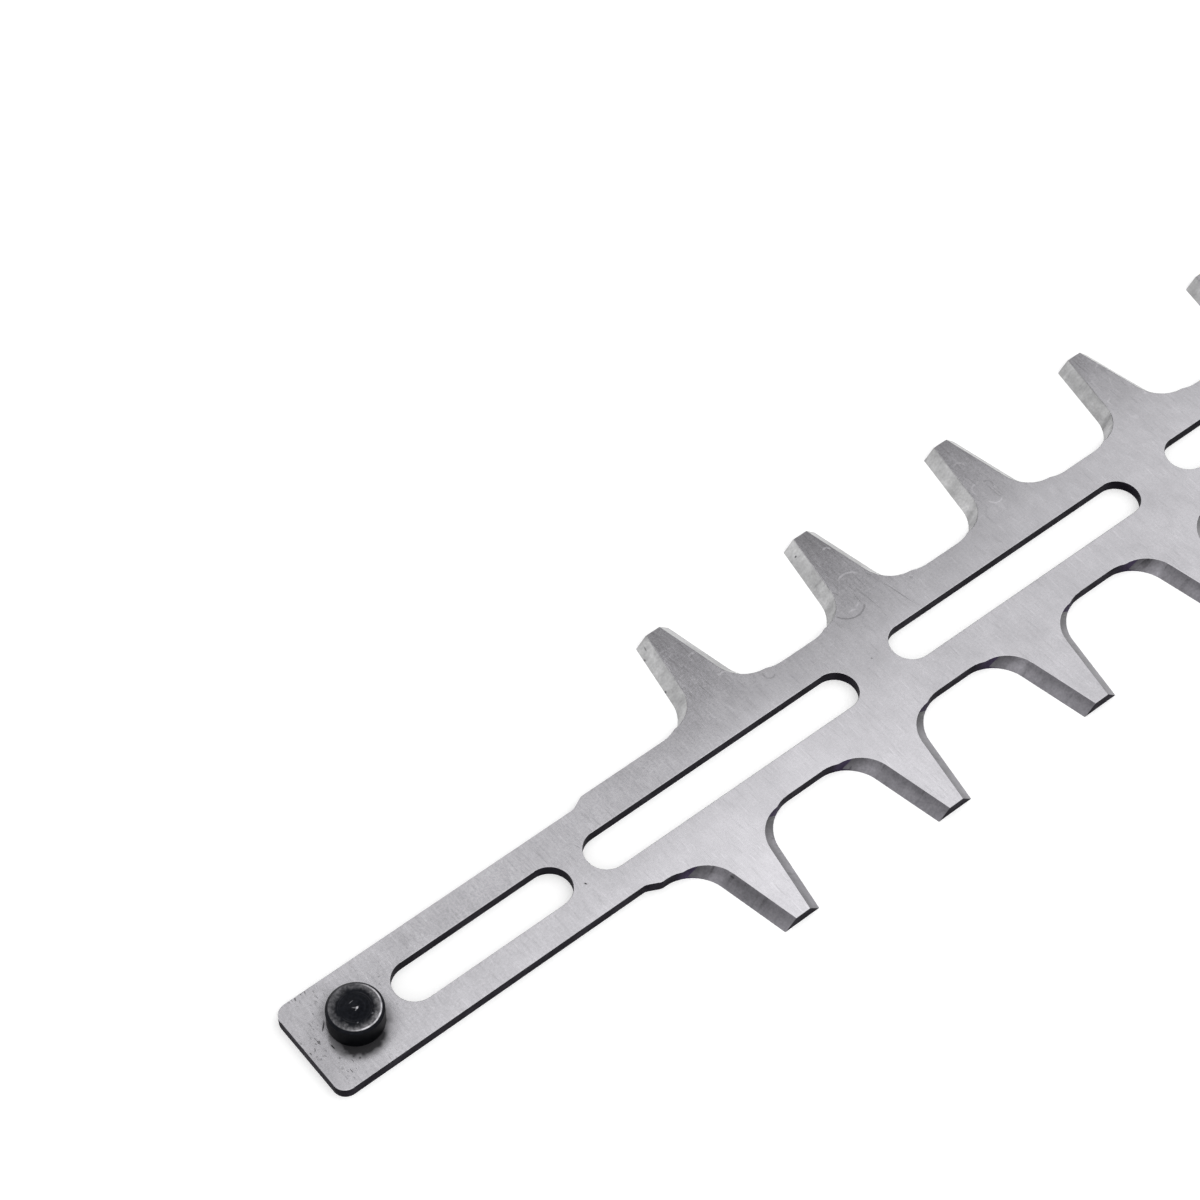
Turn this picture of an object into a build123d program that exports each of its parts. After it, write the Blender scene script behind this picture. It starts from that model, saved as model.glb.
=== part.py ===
from build123d import *
from math import cos, radians, tan
import os

# Flat steel strip that the plate is punched from
plate_thickness = 1.95
shank_width = 16.6
bar_width = 18.8

# Heel, round the drive pin that stands at the origin
heel_reach = 8.7
heel_lean = 0.3
heel_corner_radius = 2.4

# Shoulder where the shank widens into the toothed bar
shoulder_gap = 0.8
shoulder_run = 2.2
shoulder_radius = 2.0

# Slots along the centre line: a short one behind the pin, then the guide slots
slot_width = 7.0
pin_web = 2.55
heel_slot_length = 31.1
slot_web = 3.6
guide_slot_bridge = 8.3
guide_slot_count = 10

# Teeth, in two rows staggered by half a pitch
tooth_pitch = 30.0
first_tooth_offset = 18.7
tip_span = 52.0
tip_width = 6.5
flank_angle = 11.0
root_radius = 6.25

# Bevels ground on both flanks of every tooth, running out at its root
bevel_angle = 45.0
bevel_skew = 5.5
bevel_root_radius = 5.8
bevel_root_land = 0.6
grinding_stock = 0.05

# Nose past the last tooth
nose_margin = 1.0
nose_flat = 2.0

# Drive pin, shouldered and riveted into the heel
pin_diameter = 8.4
pin_height = 3.65
pin_chamfer = 0.4
pin_shoulder = 1.4
dimple_diameter = 1.4
dimple_angle = 120.0
rivet_flare = 0.8
rivet_recess = 0.1
rivet_clearance = 0.02

# How far a cutting tool passes the surface that it leaves
overcut = 1.0

# Heights over the centre line
tip_reach = tip_span / 2
gullet_reach = bar_width / 2
shank_reach = shank_width / 2
bevel_root_reach = gullet_reach + bevel_root_land

# Run of a bevel down the plate's thickness: along the blade, towards the bar, and in plan
flank_slope = tan(radians(flank_angle))
bevel_run = plate_thickness / tan(radians(bevel_angle))
bevel_drop = bevel_run * tan(radians(bevel_skew))
bevel_width = bevel_run - bevel_drop * flank_slope


def root_centre(radius, lowest, inset):
    """Centre of the arc from a tooth's flank into its root, for a tooth that points up.

    The arc's lowest point is at the height lowest, and the arc touches the line that lies
    inset inside the finished cutting edge.
    """
    height = lowest + radius
    flank = tip_width / 2 + (tip_reach - height) * flank_slope - inset
    return flank + radius / cos(radians(flank_angle)), height


# Places along the blade
slot_pitch = 2 * tooth_pitch
heel_slot_start = pin_diameter / 2 + pin_web
guide_slot_start = heel_slot_start + heel_slot_length + slot_web
guide_slot_length = slot_pitch - guide_slot_bridge
near_first_tooth = guide_slot_start + first_tooth_offset
near_tooth_count = 2 * guide_slot_count
far_first_tooth = near_first_tooth + tooth_pitch / 2
far_tooth_count = near_tooth_count - 1
root_half_width = root_centre(root_radius, gullet_reach, -grinding_stock)[0]
shoulder_end = near_first_tooth - root_half_width - shoulder_gap
last_tooth = near_first_tooth + (near_tooth_count - 1) * tooth_pitch
nose_radius = gullet_reach - nose_flat / 2
nose_end = last_tooth + root_half_width + nose_margin + nose_radius

# Radii of the drive pin
pin_radius = pin_diameter / 2
rivet_radius = pin_radius - pin_shoulder
countersink_radius = rivet_radius + rivet_flare
dimple_radius = dimple_diameter / 2
dimple_depth = dimple_radius / tan(radians(dimple_angle / 2))


def strip():
    """Plan of the shank, the bar and the nose, before the teeth and slots."""
    with BuildSketch() as plan:
        with BuildLine():
            FilletPolyline(
                (-heel_reach, 0),
                (-heel_reach, shank_reach),
                (shoulder_end - shoulder_run, shank_reach),
                (shoulder_end, gullet_reach),
                (nose_end, gullet_reach),
                (nose_end, 0),
                radius=[heel_corner_radius, shoulder_radius, shoulder_radius, nose_radius],
            )
            mirror(about=Plane.XZ)
        make_face()
    return plan.sketch


def punched_tooth():
    """Plan of one tooth that points up, with its root arcs, from the centre line to its tip."""
    centre_x, centre_y = root_centre(root_radius, gullet_reach, -grinding_stock)
    tip_x = tip_width / 2 + grinding_stock
    sweep = 90 - flank_angle
    with BuildSketch() as plan:
        with BuildLine():
            left = CenterArc((-centre_x, centre_y), root_radius, -90, sweep)
            right = CenterArc((centre_x, centre_y), root_radius, 180 + flank_angle, sweep)
            Polyline(left @ 1, (-tip_x, tip_reach), (tip_x, tip_reach), right @ 0)
            Polyline(right @ 1, (centre_x, 0), (-centre_x, 0), left @ 0)
        make_face()
    return plan.sketch


def slot(start, length):
    """Plan of one round-ended slot on the centre line."""
    return Pos(start + length / 2, 0) * SlotOverall(length, slot_width)


def row_places(first, count):
    """Distances of a row's teeth from the drive pin."""
    return [first + i * tooth_pitch for i in range(count)]


def bevel_waste():
    """The steel ground off the right flank of a tooth that points up.

    Its inner wall is the bevel: the rim drawn on the top face, carried down the slope.
    """
    centre_x, centre_y = root_centre(bevel_root_radius, bevel_root_reach, bevel_width)
    outside = root_half_width
    above = tip_reach + overcut
    rim_x = tip_width / 2 - bevel_width - overcut * flank_slope
    with BuildSketch() as top:
        with BuildLine():
            root = CenterArc(
                (centre_x, centre_y), bevel_root_radius, 180 + flank_angle, 90 - flank_angle
            )
            Polyline(
                root @ 1,
                (outside, bevel_root_reach),
                (outside, above),
                (rim_x, above),
                root @ 0,
            )
        make_face()
    slope = Vector(bevel_run, -bevel_drop, -plate_thickness)
    passing = overcut / plate_thickness
    start = Vector(0, 0, plate_thickness) - slope * passing
    fall = slope * (1 + 2 * passing)
    return extrude(Pos(start) * top.sketch, amount=fall.length, dir=fall)


def row_waste(first, count, side):
    """The steel ground off every tooth of one row, on the side +1 or -1 of the centre line."""
    right = bevel_waste()
    flanks = [right, mirror(right, about=Plane.YZ)]
    if side < 0:
        flanks = [mirror(flank, about=Plane.XZ) for flank in flanks]
    return [Pos(x, 0) * flank for x in row_places(first, count) for flank in flanks]


def heel_waste():
    """The wedge that the shear's lean takes off the heel's end, more at the flat face."""
    slope = heel_lean / plate_thickness
    with BuildSketch(Plane.XZ) as side:
        with BuildLine():
            Polyline(
                (-heel_reach - overcut, -overcut),
                (-heel_reach + heel_lean + overcut * slope, -overcut),
                (-heel_reach, plate_thickness),
                (-heel_reach - overcut, plate_thickness),
                close=True,
            )
        make_face()
    return extrude(side.sketch, shank_width, both=True)


def rivet_hole():
    """The countersunk hole in the heel, a clearance wider than the rivet in it."""
    wide = countersink_radius + rivet_clearance
    narrow = rivet_radius + rivet_clearance
    with BuildSketch(Plane.XZ) as half:
        with BuildLine():
            Polyline(
                (0, -overcut),
                (wide + overcut, -overcut),
                (narrow, rivet_flare),
                (narrow, plate_thickness + overcut),
                (0, plate_thickness + overcut),
                close=True,
            )
        make_face()
    return revolve(half.sketch, axis=Axis.Z)


def blade():
    """The punched and ground plate, flat sliding face down at zero."""
    tooth = punched_tooth()
    far_row = [Pos(x, 0) * tooth for x in row_places(far_first_tooth, far_tooth_count)]
    near_tooth = mirror(tooth, about=Plane.XZ)
    near_row = [Pos(x, 0) * near_tooth for x in row_places(near_first_tooth, near_tooth_count)]
    slots = [slot(heel_slot_start, heel_slot_length)]
    for i in range(guide_slot_count):
        slots.append(slot(guide_slot_start + i * slot_pitch, guide_slot_length))
    plan = strip() + far_row + near_row - slots
    plate = extrude(plan, plate_thickness)
    plate -= row_waste(far_first_tooth, far_tooth_count, 1)
    plate -= row_waste(near_first_tooth, near_tooth_count, -1)
    return plate - heel_waste() - rivet_hole()


def drive_pin():
    """The turned pin: its journal stands on the plate and its shank is riveted through."""
    top = plate_thickness + pin_height
    with BuildSketch(Plane.XZ) as half:
        with BuildLine():
            Polyline(
                (0, rivet_recess),
                (countersink_radius - rivet_recess, rivet_recess),
                (rivet_radius, rivet_flare),
                (rivet_radius, plate_thickness),
                (pin_radius, plate_thickness),
                (pin_radius, top - pin_chamfer),
                (pin_radius - pin_chamfer, top),
                (dimple_radius, top),
                (0, top - dimple_depth),
                close=True,
            )
        make_face()
    return revolve(half.sketch, axis=Axis.Z)


os.makedirs("parts", exist_ok=True)
export_step(blade(), "parts/blade.step")
export_step(drive_pin(), "parts/drive_pin.step")
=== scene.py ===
"""Looks of a hedge trimmer blade: camera, studio, steel finishes and refined meshes."""

import logging
import math
from collections.abc import Callable, Iterator
from contextlib import contextmanager
from dataclasses import dataclass
from enum import Enum
from functools import cache, reduce

import bmesh
import bpy
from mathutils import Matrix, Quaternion, Vector


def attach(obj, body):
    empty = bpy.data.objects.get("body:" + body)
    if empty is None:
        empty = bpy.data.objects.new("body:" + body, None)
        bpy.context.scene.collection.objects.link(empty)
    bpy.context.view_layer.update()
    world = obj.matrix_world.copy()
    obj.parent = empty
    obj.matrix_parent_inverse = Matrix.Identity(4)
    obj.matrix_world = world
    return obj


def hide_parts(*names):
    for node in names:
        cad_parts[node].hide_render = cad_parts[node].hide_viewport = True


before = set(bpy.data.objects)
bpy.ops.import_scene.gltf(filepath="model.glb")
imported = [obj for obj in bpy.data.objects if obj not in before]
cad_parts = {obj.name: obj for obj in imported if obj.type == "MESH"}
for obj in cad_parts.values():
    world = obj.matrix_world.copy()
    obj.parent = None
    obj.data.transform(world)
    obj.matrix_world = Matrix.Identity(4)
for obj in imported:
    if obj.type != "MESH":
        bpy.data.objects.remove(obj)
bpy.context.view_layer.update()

MM = 0.001
BODY = "root"
CREASE = math.radians(32)
MARK_REACH = 1.2 * MM
RED_SHARE = 0.35
NUMBER_RESULTS = ("LENGTH", "DOT_PRODUCT")

Place = tuple[float, float, float]
Span = tuple[float, float]
Piece = bpy.types.Object
Socket = bpy.types.NodeSocket
Outputs = bpy.types.NodeOutputs
Tree = bpy.types.NodeTree
Feeds = dict[str, object]
Edge = bmesh.types.BMEdge
Face = bmesh.types.BMFace
Element = Edge | Face

log = logging.getLogger("blade")


class Skin(Enum):
    """What was done to a surface of the plate, in the order of the piece's material slots."""

    FACE = 0
    WALL = 1
    BEVEL = 2


@dataclass(frozen=True)
class Viewpoint:
    """The camera: where it stands, how it is turned, and its lens."""

    location: Place = (-0.104502, -0.176238, 0.371444)
    turn_degrees: Place = (36.766565, -0.664507, -39.001637)
    lens_mm: float = 89.7232
    sensor_mm: float = 36.0
    near: float = 0.01
    far: float = 100.0

    def build(self) -> Piece:
        """Adds the camera and makes it the scene's own.

        Returns:
            The camera object.
        """
        turn = [math.radians(angle) for angle in self.turn_degrees]
        bpy.ops.object.camera_add(location=self.location, rotation=turn)
        camera = bpy.context.object
        camera.name = "photograph_view"
        camera.data.lens = self.lens_mm
        camera.data.sensor_width = self.sensor_mm
        camera.data.clip_start = self.near
        camera.data.clip_end = self.far
        bpy.context.scene.camera = camera
        return camera


class NodeBoard:
    """A shader node tree, with short calls that add its nodes and join them."""

    def __init__(self, tree: Tree) -> None:
        """Takes the tree and empties it.

        Args:
            tree: The node tree of a material, a world or a group.
        """
        self.tree = tree
        tree.nodes.clear()

    @classmethod
    def of(cls, owner: bpy.types.Material | bpy.types.World) -> "NodeBoard":
        """Turns the nodes of a material or a world on and gives its empty board."""
        owner.use_nodes = True
        return cls(owner.node_tree)

    def feed(self, socket: Socket, value: object) -> None:
        """Joins a socket to another one, or gives it a plain value.

        Args:
            socket: The input socket.
            value: An output socket, a number, a vector or a colour.
        """
        if isinstance(value, Socket):
            self.tree.links.new(value, socket)
        else:
            socket.default_value = value

    def add(self, kind: str, sockets: dict | None = None, **settings: object) -> Outputs:
        """Adds one node.

        Args:
            kind: The node's type, without its ShaderNode prefix.
            sockets: What feeds its inputs, by name or number.
            settings: The node's own properties.

        Returns:
            The new node's outputs.
        """
        node = self.tree.nodes.new("ShaderNode" + kind)
        for name, value in settings.items():
            setattr(node, name, value)
        for key, value in (sockets or {}).items():
            self.feed(node.inputs[key], value)
        return node.outputs

    def math(self, operation: str, *values: object) -> Socket:
        """Adds a Math node and returns its result."""
        return self.add("Math", dict(enumerate(values)), operation=operation)[0]

    def vector(self, operation: str, *values: object) -> Socket:
        """Adds a Vector Math node and returns its result, a number or a vector."""
        outputs = self.add("VectorMath", dict(enumerate(values)), operation=operation)
        return outputs["Value" if operation in NUMBER_RESULTS else "Vector"]

    def scale(self, vector: object, factor: object) -> Socket:
        """Scales a vector or a colour and returns the result's socket."""
        return self.add("VectorMath", {0: vector, "Scale": factor}, operation="SCALE")[0]

    def smooth(self, value: object, low: object, high: object) -> Socket:
        """Maps a value smoothly to 0 at low and 1 at high, and no further."""
        sockets = {"Value": value, "From Min": low, "From Max": high}
        return self.add("MapRange", sockets, interpolation_type="SMOOTHSTEP")[0]

    def ramp(self, value: object, start: float, end: float) -> Socket:
        """Maps a value smoothly to 0 at start and 1 at end, whichever is the larger.

        Args:
            value: What is mapped.
            start: Where the result is 0.
            end: Where the result is 1.

        Returns:
            The result's socket.
        """
        if start > end:
            return self.math("SUBTRACT", 1.0, self.smooth(value, end, start))
        return self.smooth(value, start, end)

    def product(self, *values: object) -> Socket:
        """Multiplies numbers and returns the result's socket."""
        return reduce(lambda total, value: self.math("MULTIPLY", total, value), values)

    def most(self, *values: object) -> Socket:
        """Takes the largest of the numbers and returns its socket."""
        return reduce(lambda total, value: self.math("MAXIMUM", total, value), values)

    def mix(self, share: object, first: object, second: object) -> Socket:
        """Mixes two numbers and returns the result's socket."""
        return self.add("Mix", {0: share, 2: first, 3: second}, data_type="FLOAT")[0]

    def sway(self, mask: object, amount: float) -> Socket:
        """Makes a factor from a mask, amount under 1 where it is 0 and over 1 where it is 1."""
        return self.mix(mask, 1 - amount, 1 + amount)

    def tint(self, share: object, first: object, second: object) -> Socket:
        """Mixes two colours and returns the result's socket."""
        return self.add("Mix", {0: share, 6: first, 7: second}, data_type="RGBA")[2]

    def noise(self, place: object, scale: object, detail: float, **sockets: object) -> Outputs:
        """Adds a noise texture and returns its outputs."""
        return self.add("TexNoise", {"Vector": place, "Scale": scale, "Detail": detail, **sockets})

    def bump(self, height: object, distance: float, strength: float = 0.3) -> Socket:
        """Adds a bump and returns its normal."""
        sockets = {"Strength": strength, "Distance": distance, "Height": height}
        return self.add("Bump", sockets)[0]

    def group(self, effect: "type[NodeGroup]", **sockets: object) -> Outputs:
        """Adds a shared effect.

        Args:
            effect: The effect's class.
            sockets: What feeds its inputs, with _ in place of a blank in a name.

        Returns:
            The effect's outputs.
        """
        named = {name.replace("_", " "): value for name, value in sockets.items()}
        return self.add("Group", named, node_tree=shared_tree(effect))

    def mask(self, effect: "type[NodeGroup]", **sockets: object) -> Socket:
        """Adds a shared effect, as group does, and returns its first output."""
        return self.group(effect, **sockets)[0]

    def place(self) -> Socket:
        """Adds the object coordinates and returns their socket."""
        return self.add("TexCoord")["Object"]

    def axes(self) -> Outputs:
        """Adds the object coordinates and returns their three parts."""
        return self.add("SeparateXYZ", {0: self.place()})


class NodeGroup:
    """A shared shader effect, with named inputs and outputs."""

    name: str = "group"
    takes: dict[str, float | Place] = {}
    gives: tuple[str, ...] = ("Mask",)

    def __init__(self) -> None:
        """Makes the group's tree and its sockets, and then its nodes."""
        self.tree = bpy.data.node_groups.new(self.name, "ShaderNodeTree")
        new_socket = self.tree.interface.new_socket
        for name, value in self.takes.items():
            kind = "NodeSocketFloat" if isinstance(value, float) else "NodeSocketVector"
            new_socket(name, in_out="INPUT", socket_type=kind).default_value = value
        for name in self.gives:
            new_socket(name, in_out="OUTPUT", socket_type="NodeSocketFloat")
        board = NodeBoard(self.tree)
        source = self.tree.nodes.new("NodeGroupInput")
        sink = self.tree.nodes.new("NodeGroupOutput")
        for name, value in self.wire(board, source.outputs).items():
            board.feed(sink.inputs[name], value)

    def wire(self, board: NodeBoard, taken: Outputs) -> Feeds:
        """Adds the group's nodes.

        Args:
            board: The board of the group's tree.
            taken: The group's inputs.

        Returns:
            What feeds each output, by name.
        """
        raise NotImplementedError


class GrindingLines(NodeGroup):
    """Fine lines that a grinding wheel leaves, at two scales, with a grain between them."""

    name: str = "grinding_lines"
    takes = {"Density": (2400.0, 420.0, 2400.0), "Grain per metre": 2600.0, "Grain": 0.45}
    gives = ("Tone", "Height")
    detail: float = 2.0
    fine_roughness: float = 0.6
    wide_density: Place = (0.22, 0.35, 0.22)
    wide_share: float = 0.35
    least_tone: float = 0.33
    most_tone: float = 0.67

    def wire(self, board: NodeBoard, taken: Outputs) -> Feeds:
        """Adds the nodes, as NodeGroup.wire says."""
        origin = board.place()
        place = board.vector("MULTIPLY", origin, taken["Density"])
        fine = board.noise(place, 1.0, self.detail, Roughness=self.fine_roughness)[0]
        wide_place = board.vector("MULTIPLY", place, self.wide_density)
        wide = board.noise(wide_place, 1.0, self.detail)[0]
        grain = board.noise(origin, taken["Grain per metre"], self.detail)[0]
        lines = board.mix(self.wide_share, fine, wide)
        both = board.mix(taken["Grain"], lines, grain)
        sockets = {"Value": both, "From Min": self.least_tone, "From Max": self.most_tone}
        return {"Tone": board.add("MapRange", sockets)[0], "Height": both}


class Hairlines(NodeGroup):
    """Sparse thin scratches, all one way."""

    name: str = "hairlines"
    takes = {"Density": (2500.0, 120.0, 2500.0), "Level": 0.68}
    softness: float = 0.05

    def wire(self, board: NodeBoard, taken: Outputs) -> Feeds:
        """Adds the nodes, as NodeGroup.wire says."""
        place = board.vector("MULTIPLY", board.place(), taken["Density"])
        over = board.math("SUBTRACT", board.noise(place, 1.0, 0.0)[0], taken["Level"])
        return {"Mask": board.ramp(over, 0.0, self.softness)}


class Mottle(NodeGroup):
    """Soft blotches of oil, polish or dirt."""

    name: str = "mottle"
    takes = {"Per metre": 300.0, "Low": 0.4, "High": 0.65}
    detail: float = 3.0

    def wire(self, board: NodeBoard, taken: Outputs) -> Feeds:
        """Adds the nodes, as NodeGroup.wire says."""
        noise = board.noise(board.place(), taken["Per metre"], self.detail)[0]
        return {"Mask": board.smooth(noise, taken["Low"], taken["High"])}


class Pits(NodeGroup):
    """Small round pits, in a few of the cells of a net."""

    name: str = "pits"
    takes = {"Per metre": 300.0, "Share": 0.1, "Radius": 0.08}
    least_size: float = 0.4
    rim: Span = (1.0, 0.5)

    def wire(self, board: NodeBoard, taken: Outputs) -> Feeds:
        """Adds the nodes, as NodeGroup.wire says."""
        sockets = {"Vector": board.place(), "Scale": taken["Per metre"]}
        cells = board.add("TexVoronoi", sockets)
        chance = board.add("SeparateColor", {0: cells["Color"]})
        chosen = board.math("LESS_THAN", chance[0], taken["Share"])
        size = board.product(taken["Radius"], board.math("ADD", chance[1], self.least_size))
        near = board.math("DIVIDE", cells["Distance"], size)
        return {"Mask": board.product(chosen, board.ramp(near, *self.rim))}


def from_mark(board: NodeBoard, taken: Outputs) -> Socket:
    """Adds the way from a mark's place, turned with the mark.

    Args:
        board: The board of the mark's group.
        taken: The group's inputs, Place and Turn among them.

    Returns:
        The way's socket.
    """
    way = board.vector("SUBTRACT", board.place(), taken["Place"])
    sockets = {"Vector": way, "Angle": taken["Turn"]}
    return board.add("VectorRotate", sockets, rotation_type="Z_AXIS")[0]


class Mark(NodeGroup):
    """One long or round mark at a given place."""

    name: str = "mark"
    takes = {"Place": (0.0, 0.0, 0.0), "Turn": 0.0, "Half size": (MM, MM, MM)}
    rim: Span = (1.0, 0.35)

    def wire(self, board: NodeBoard, taken: Outputs) -> Feeds:
        """Adds the nodes, as NodeGroup.wire says."""
        turned = from_mark(board, taken)
        out = board.vector("LENGTH", board.vector("DIVIDE", turned, taken["Half size"]))
        return {"Mask": board.ramp(out, *self.rim)}


class Arc(NodeGroup):
    """Part of a thin ring round a given place on the plate.

    Reach is the cosine of half the arc. Heights count threefold, so that the arc doesn't show
    on the plate's other face.
    """

    name: str = "arc"
    takes = {
        "Place": (0.0, 0.0, 0.0),
        "Turn": 0.0,
        "Radius": 2 * MM,
        "Width": 0.2 * MM,
        "Reach": 0.0,
    }
    stretched: Place = (1.0, 1.0, 3.0)
    line: Span = (1.0, 0.15)
    ends: Span = (-0.08, 0.16)

    def wire(self, board: NodeBoard, taken: Outputs) -> Feeds:
        """Adds the nodes, as NodeGroup.wire says."""
        turned = from_mark(board, taken)
        distance = board.vector("LENGTH", board.vector("MULTIPLY", turned, self.stretched))
        off = board.math("ABSOLUTE", board.math("SUBTRACT", distance, taken["Radius"]))
        line = board.ramp(board.math("DIVIDE", off, taken["Width"]), *self.line)
        cosine = board.math("DIVIDE", board.add("SeparateXYZ", {0: turned})[0], distance)
        inside = board.ramp(board.math("SUBTRACT", cosine, taken["Reach"]), *self.ends)
        return {"Mask": board.product(line, inside)}


class RubRings(NodeGroup):
    """Broken rings, each set round its own point, as stones and twigs rub into steel."""

    name: str = "rub_rings"
    takes = {"Per metre": 170.0, "Rings": 3.2}
    sway: float = 2.2 * MM
    sways_per_metre: float = 260.0
    line: Span = (0.09, 0.02)
    patches_per_metre: float = 330.0
    patch: Span = (0.54, 0.62)

    def wire(self, board: NodeBoard, taken: Outputs) -> Feeds:
        """Adds the nodes, as NodeGroup.wire says."""
        origin = board.place()
        sway = board.noise(origin, self.sways_per_metre, 1.0)["Color"]
        place = board.vector("ADD", origin, board.scale(sway, self.sway))
        cells = board.add("TexVoronoi", {"Vector": place, "Scale": taken["Per metre"]})
        steps = board.product(cells["Distance"], taken["Rings"])
        off = board.math("ABSOLUTE", board.math("SUBTRACT", board.math("FRACT", steps), 0.5))
        patch = board.ramp(board.noise(origin, self.patches_per_metre, 1.0)[0], *self.patch)
        return {"Mask": board.product(board.ramp(off, *self.line), patch)}


class EdgeWearAndShade(NodeGroup):
    """Where the surface turns sharply within a short distance: worn edges on the walls, and painted
    shade along the edges of the faces and flanks.
    """

    name: str = "edge_wear_and_shade"
    takes = {"Reach": 0.2 * MM}
    samples: int = 6
    agreement: Span = (0.997, 0.93)

    def wire(self, board: NodeBoard, taken: Outputs) -> Feeds:
        """Adds the nodes, as NodeGroup.wire says."""
        rounded = board.add("Bevel", {"Radius": taken["Reach"]}, samples=self.samples)[0]
        plain = board.add("NewGeometry")["Normal"]
        agree = board.vector("DOT_PRODUCT", rounded, plain)
        return {"Mask": board.ramp(agree, *self.agreement)}


@cache
def shared_tree(effect: type[NodeGroup]) -> Tree:
    """Builds an effect's tree at its first use, and gives the same one from then on."""
    return effect().tree


def grey(level: float, violet: float = 0.0) -> tuple[float, float, float, float]:
    """Makes a grey with a slight violet cast.

    Args:
        level: The grey's linear level.
        violet: How far blue stands over green, as a share of the level.

    Returns:
        The colour with its alpha.
    """
    return (level * (1 + violet * RED_SHARE), level, level * (1 + violet), 1.0)


@dataclass(frozen=True)
class Scar:
    """One mark on the steel, in millimetres and degrees.

    Its long side lies along X before it is turned.
    """

    x: float
    y: float
    length: float
    width: float
    turn: float = 0.0
    depth: float = 1.0
    z: float = 1.95


@dataclass(frozen=True)
class Rub:
    """One curved rub mark, in millimetres and degrees.

    It is part of a ring round its place, its middle turned from X, with reach the cosine of
    half its sweep. A tone over 0 is pale.
    """

    x: float
    y: float
    radius: float
    turn: float
    reach: float
    tone: float


SCARS = (
    Scar(-4.18, 2.03, 2.5, 0.38, 45.0, 0.9),
    Scar(-3.75, 2.62, 1.2, 0.42, 48.0, 0.6),
    Scar(-5.02, -1.4, 1.5, 0.34, 93.0, 1.0),
    Scar(-7.68, -1.29, 0.5, 0.35, 20.0, 0.5),
    Scar(-6.95, -1.76, 0.5, 0.3, 70.0, 0.5),
    Scar(-6.17, 2.1, 3.4, 0.5, 89.0, 0.22),
    Scar(-6.66, 1.61, 0.9, 0.35, 75.0, 0.35),
    Scar(6.54, 3.6, 0.35, 0.3, 0.0, 0.55),
    Scar(5.91, 2.6, 0.6, 0.4, 45.0, 0.3),
    Scar(5.94, -1.49, 0.4, 0.3, 80.0, 0.4),
    Scar(-6.39, -6.57, 0.4, 0.3, 0.0, 0.4),
    Scar(-3.59, -4.33, 0.8, 0.6, 30.0, 0.9),
    Scar(-3.09, -5.09, 0.7, 0.6, 30.0, 0.85),
    Scar(38.88, -2.7, 0.65, 0.34, 115.0, 1.0),
    Scar(41.9, 2.9, 1.4, 0.16, 110.0, 0.35),
    Scar(72.4, 17.5, 8.8, 0.34, 75.5, 0.5),
    Scar(78.1, 18.3, 7.6, 0.34, 102.0, 0.5),
    Scar(74.4, 13.9, 3.2, 0.34, 86.0, 0.5),
    Scar(74.9, 21.9, 0.9, 0.3, 150.0, 0.45),
    Scar(101.9, 15.7, 2.6, 0.36, 67.0, 0.5),
    Scar(108.5, 13.5, 1.9, 0.36, 118.0, 0.5),
    Scar(109.6, 8.4, 9.2, 0.28, 100.6, 0.45),
    Scar(104.0, 11.6, 3.4, 0.3, 84.0, 0.45),
    Scar(105.3, 10.8, 8.4, 0.26, 92.0, 0.4),
    Scar(113.2, 9.0, 0.9, 0.8, 0.0, 0.35),
    Scar(98.0, 1.3, 0.4, 0.4, 0.0, 0.5),
)

# Painted shadow round the foot of the drive pin, darkest on its near side, with some grease; the
# third, wide patch is a faint painted shade round the pin.
PIN_SHADOW_SMUDGE = (
    Scar(-1.5, -2.8, 9.3, 8.3, -45.0, 0.98),
    Scar(0.7, 0.1, 11.8, 15.3, 19.5, 0.83),
    Scar(-3.0, -0.3, 15.3, 13.8, 0.0, 0.18),
)

NICKS_AND_SHADE = (
    Scar(102.36, 23.73, 0.42, 0.42, 0.0, 1.0, 1.0),
    Scar(71.56, 23.45, 0.5, 0.3, 80.0, 0.9, 0.1),
    Scar(70.27, 16.93, 0.6, 0.3, 80.0, 0.9, 0.1),
    Scar(72.59, 24.62, 1.2, 0.26, 75.0, 0.6, 1.0),
    Scar(56.28, -14.89, 1.2, 0.34, 100.0, 0.7, 1.7),
    # A long soft patch over the first near tooth's left flank, darkened for the way it faces:
    # painted shade.
    Scar(56.2, -17.5, 24.0, 7.0, 101.0, 0.24, 1.0),
)

# The first three marks make the glint in the centre dimple, a painted highlight; the others are a
# faint scratch and small pale specks on the end.
PIN_GLINTS = (
    Scar(0.21, -0.14, 0.62, 0.52, 0.0, 1.0, 5.5),
    Scar(0.12, 0.05, 1.25, 0.24, -29.0, 0.45, 5.5),
    Scar(-0.03, -0.3, 0.75, 0.22, 28.0, 0.35, 5.5),
    Scar(-1.12, -2.2, 0.4, 0.3, 0.0, 0.16, 5.6),
    Scar(0.06, 1.0, 1.0, 0.14, 6.0, 0.2, 5.6),
    Scar(1.36, -2.29, 0.5, 0.4, 20.0, 0.12, 5.6),
)

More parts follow.
